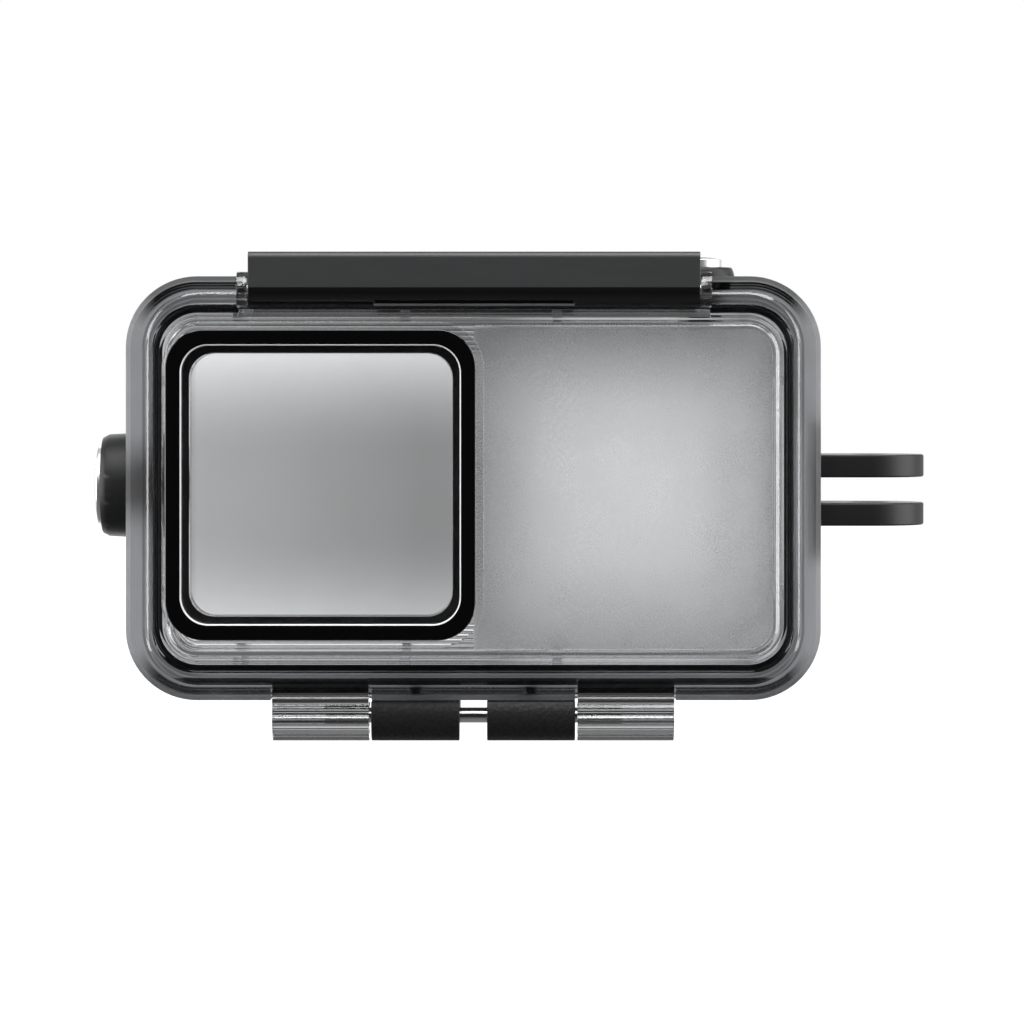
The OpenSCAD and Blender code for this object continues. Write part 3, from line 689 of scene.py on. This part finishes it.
def ring(name, node, axis):
    low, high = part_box(node)
    wire = (high[axis] - low[axis]) / 2
    widest = max(high[k] - low[k] for k in range(3) if k != axis)
    turn = (0, math.radians(90), 0) if axis == 0 else (0, 0, 0)
    letGo()
    bpy.ops.mesh.primitive_torus_add(
        major_segments=ringWork["round"], minor_segments=ringWork["section"],
        location=middle(node), rotation=turn, major_radius=widest / 2 - wire,
        minor_radius=wire)
    made = bpy.context.view_layer.objects.active
    made.name = name
    bpy.ops.object.transform_apply(location=True, rotation=True, scale=True)
    bpy.ops.object.shade_smooth()
    dress(made, node)


ring("shutterWallSeal", "shutter_wall_seal", 0)
ring("shutterStemSeal", "shutter_stem_seal", 0)
ring("modeWallSeal", "mode_wall_seal", 2)
ring("modeStemSeal", "mode_stem_seal", 2)
print("sealing rings turned")


# floor, a graduated card behind the case, and soft boxes

def glow(name, strength):
    made = Finish(name)
    made.set({"Base Color": grey(0.8), "Roughness": 0.9, "Emission Color": grey(1),
              "Emission Strength": strength})
    return made


def addPlane(name, wide, deep, place, turn=(0, 0, 0)):
    letGo()
    bpy.ops.mesh.primitive_plane_add(size=1, location=place, rotation=turn)
    plane = bpy.context.view_layer.objects.active
    plane.name = name
    plane.scale = (wide, deep, 1)
    bpy.ops.object.transform_apply(location=True, rotation=True, scale=True)
    return plane


floorPlace = {"below": 130 * mm, "size": 12}
card = {"behind": 150 * mm, "wide": 420 * mm, "high": 330 * mm, "power": 2}
# what the card shows behind each part of the case, in millimetres from its middle
portGlow = {"middle": 0.34, "left": 0.22, "leftFrom": 10, "leftFade": 40, "top": 0.55,
            "topFrom": 2, "topFade": 16, "bottom": 0.35, "bottomFrom": 10, "bottomFade": 14}
fieldGlow = {"level": 1.17, "edge": 0.85, "right": 23, "up": -2, "wide": 17, "high": 18,
             "radius": 10, "rise": (-9, 10), "from": (0, 4)}
rimGlow = {"level": 0.22, "right": 1, "up": -3, "wide": 48, "high": 26.5, "radius": 8,
           "flank": 2, "leftMore": 1.2, "flankStart": 51, "flankEnd": 80, "flankFade": 0.75,
           "armStart": 30, "armEnd": 40, "arm": 1.6}


def addFloor():
    floor = addPlane("floor", floorPlace["size"], floorPlace["size"],
                     (caseX, fieldY, shellLow.z - floorPlace["below"]))
    floor.data.materials.append(glow("paleFloor", 1.0).material)
    floor.visible_glossy = False
    floor.visible_transmission = False
    floor.visible_diffuse = False


def addCard():
    # a card lit unevenly, brightest round its edges and behind the frosted field
    made = addPlane("card", card["wide"], card["high"],
                    (caseX, fieldY + card["behind"], caseZ), (math.radians(90), 0, 0))
    paint = glow("cardPaint", card["power"])
    x, y, z = paint.axes(paint.place())
    x = (x - caseX) / mm
    z = (z - caseZ) / mm
    left = (-portGlow["leftFrom"] - x).rise(0, portGlow["leftFade"])
    top = (z - portGlow["topFrom"]).rise(0, portGlow["topFade"])
    bottom = (-portGlow["bottomFrom"] - z).rise(0, portGlow["bottomFade"])
    port = (portGlow["middle"] + left * portGlow["left"] + top * top * portGlow["top"]
            + bottom * bottom * portGlow["bottom"])
    fieldEdge = outlineDistance(x, z, fieldGlow["right"], fieldGlow["up"], fieldGlow["wide"],
                                fieldGlow["high"], fieldGlow["radius"])
    bright = 1 - fieldEdge.rise(*fieldGlow["rise"]) * fieldGlow["edge"]
    behindField = x.rise(*fieldGlow["from"])
    level = port * (1 - behindField) + bright * fieldGlow["level"] * behindField
    beyond = outlineDistance(x, z, rimGlow["right"], rimGlow["up"], rimGlow["wide"],
                             rimGlow["high"], rimGlow["radius"]).rise(-1, 2)
    flank = (x.size() - rimGlow["flankStart"]).rise(0, 3) * (
        1 - (x.size() - rimGlow["flankEnd"]).rise(0, 20) * rimGlow["flankFade"])
    level = level * (1 - beyond) + beyond * rimGlow["level"] + flank * (
        rimGlow["flank"] + (0 - x).rise(0, 1) * rimGlow["leftMore"])
    level = level + (-rimGlow["armStart"] - z).rise(0, 2) * (
        1 - (-rimGlow["armEnd"] - z).rise(0, 4)) * rimGlow["arm"]
    paint.set({"Base Color": grey(0), "Emission Color": paint.mix(
        (level / card["power"]).atMost(1), grey(0), grey(1))})
    made.data.materials.append(paint.material)
    made.visible_camera = False
    made.visible_shadow = False


lamps = [        # name, place from the case's middle, size, power
    ("leftBox", (-0.55, -0.12, 0.10), (0.5, 0.7), 7.0),
    ("rightBox", (0.55, -0.12, 0.10), (0.5, 0.7), 6.0),
    ("topBox", (0.05, -0.18, 0.55), (0.7, 0.4), 7.0),
    ("frontTop", (-0.10, -0.60, 0.50), (0.4, 0.2), 1.2)]


def addLamps():
    for name, place, size, power in lamps:
        data = bpy.data.lights.new(name, "AREA")
        data.shape = "RECTANGLE"
        data.size, data.size_y = size
        data.energy = power
        lamp = bpy.data.objects.new(name, data)
        bpy.context.scene.collection.objects.link(lamp)
        lamp.location = Vector((caseX, fieldY, caseZ)) + Vector(place)
        lamp.rotation_euler = (-Vector(place)).to_track_quat("-Z", "Y").to_euler()
        lamp.visible_camera = False
        lamp.visible_transmission = False        # never seen as a white patch through the case


roomLook = {"dark": 0.05, "sides": 0.75, "back": 0.10, "top": 0.25, "bottom": 0.18,
            "front": -0.04, "through": 0.3}


def addRoom():
    # white straight to the camera, and a soft grey studio for what the pieces reflect and bend
    world = bpy.data.worlds.new("room")
    bpy.context.scene.world = world
    world.use_nodes = True
    room = Finish("room", world.node_tree)
    background = world.node_tree.nodes["Background"]
    x, y, z = room.axes(room.node("TexCoord"))
    sides = x.size().rise(0.25, 0.6) * (1 - z.size().rise(0.2, 0.6))
    level = (roomLook["dark"] + sides * roomLook["sides"] + y.rise(0, 0.8) * roomLook["back"]
             + z.rise(0.5, 0.95) * roomLook["top"] + (0 - z).rise(0.4, 0.9) * roomLook["bottom"]
             + (0 - y).rise(0.8, 0.97) * roomLook["front"])
    straight = room.node("LightPath")
    through = room.node("LightPath", output=6)        # what clear pieces let through is dimmer
    level = level * (1 - through * roomLook["through"])
    shade = room.mix(straight, room.mix(level.atMost(1), grey(0), grey(1)), grey(1))
    feed(room.tree, shade, background.inputs["Color"])
    background.inputs["Strength"].default_value = 1


addFloor()
addCard()
addLamps()
addRoom()
bpy.context.scene.view_settings.view_transform = "Standard"
bpy.context.scene.view_settings.look = "None"
print("studio lit")
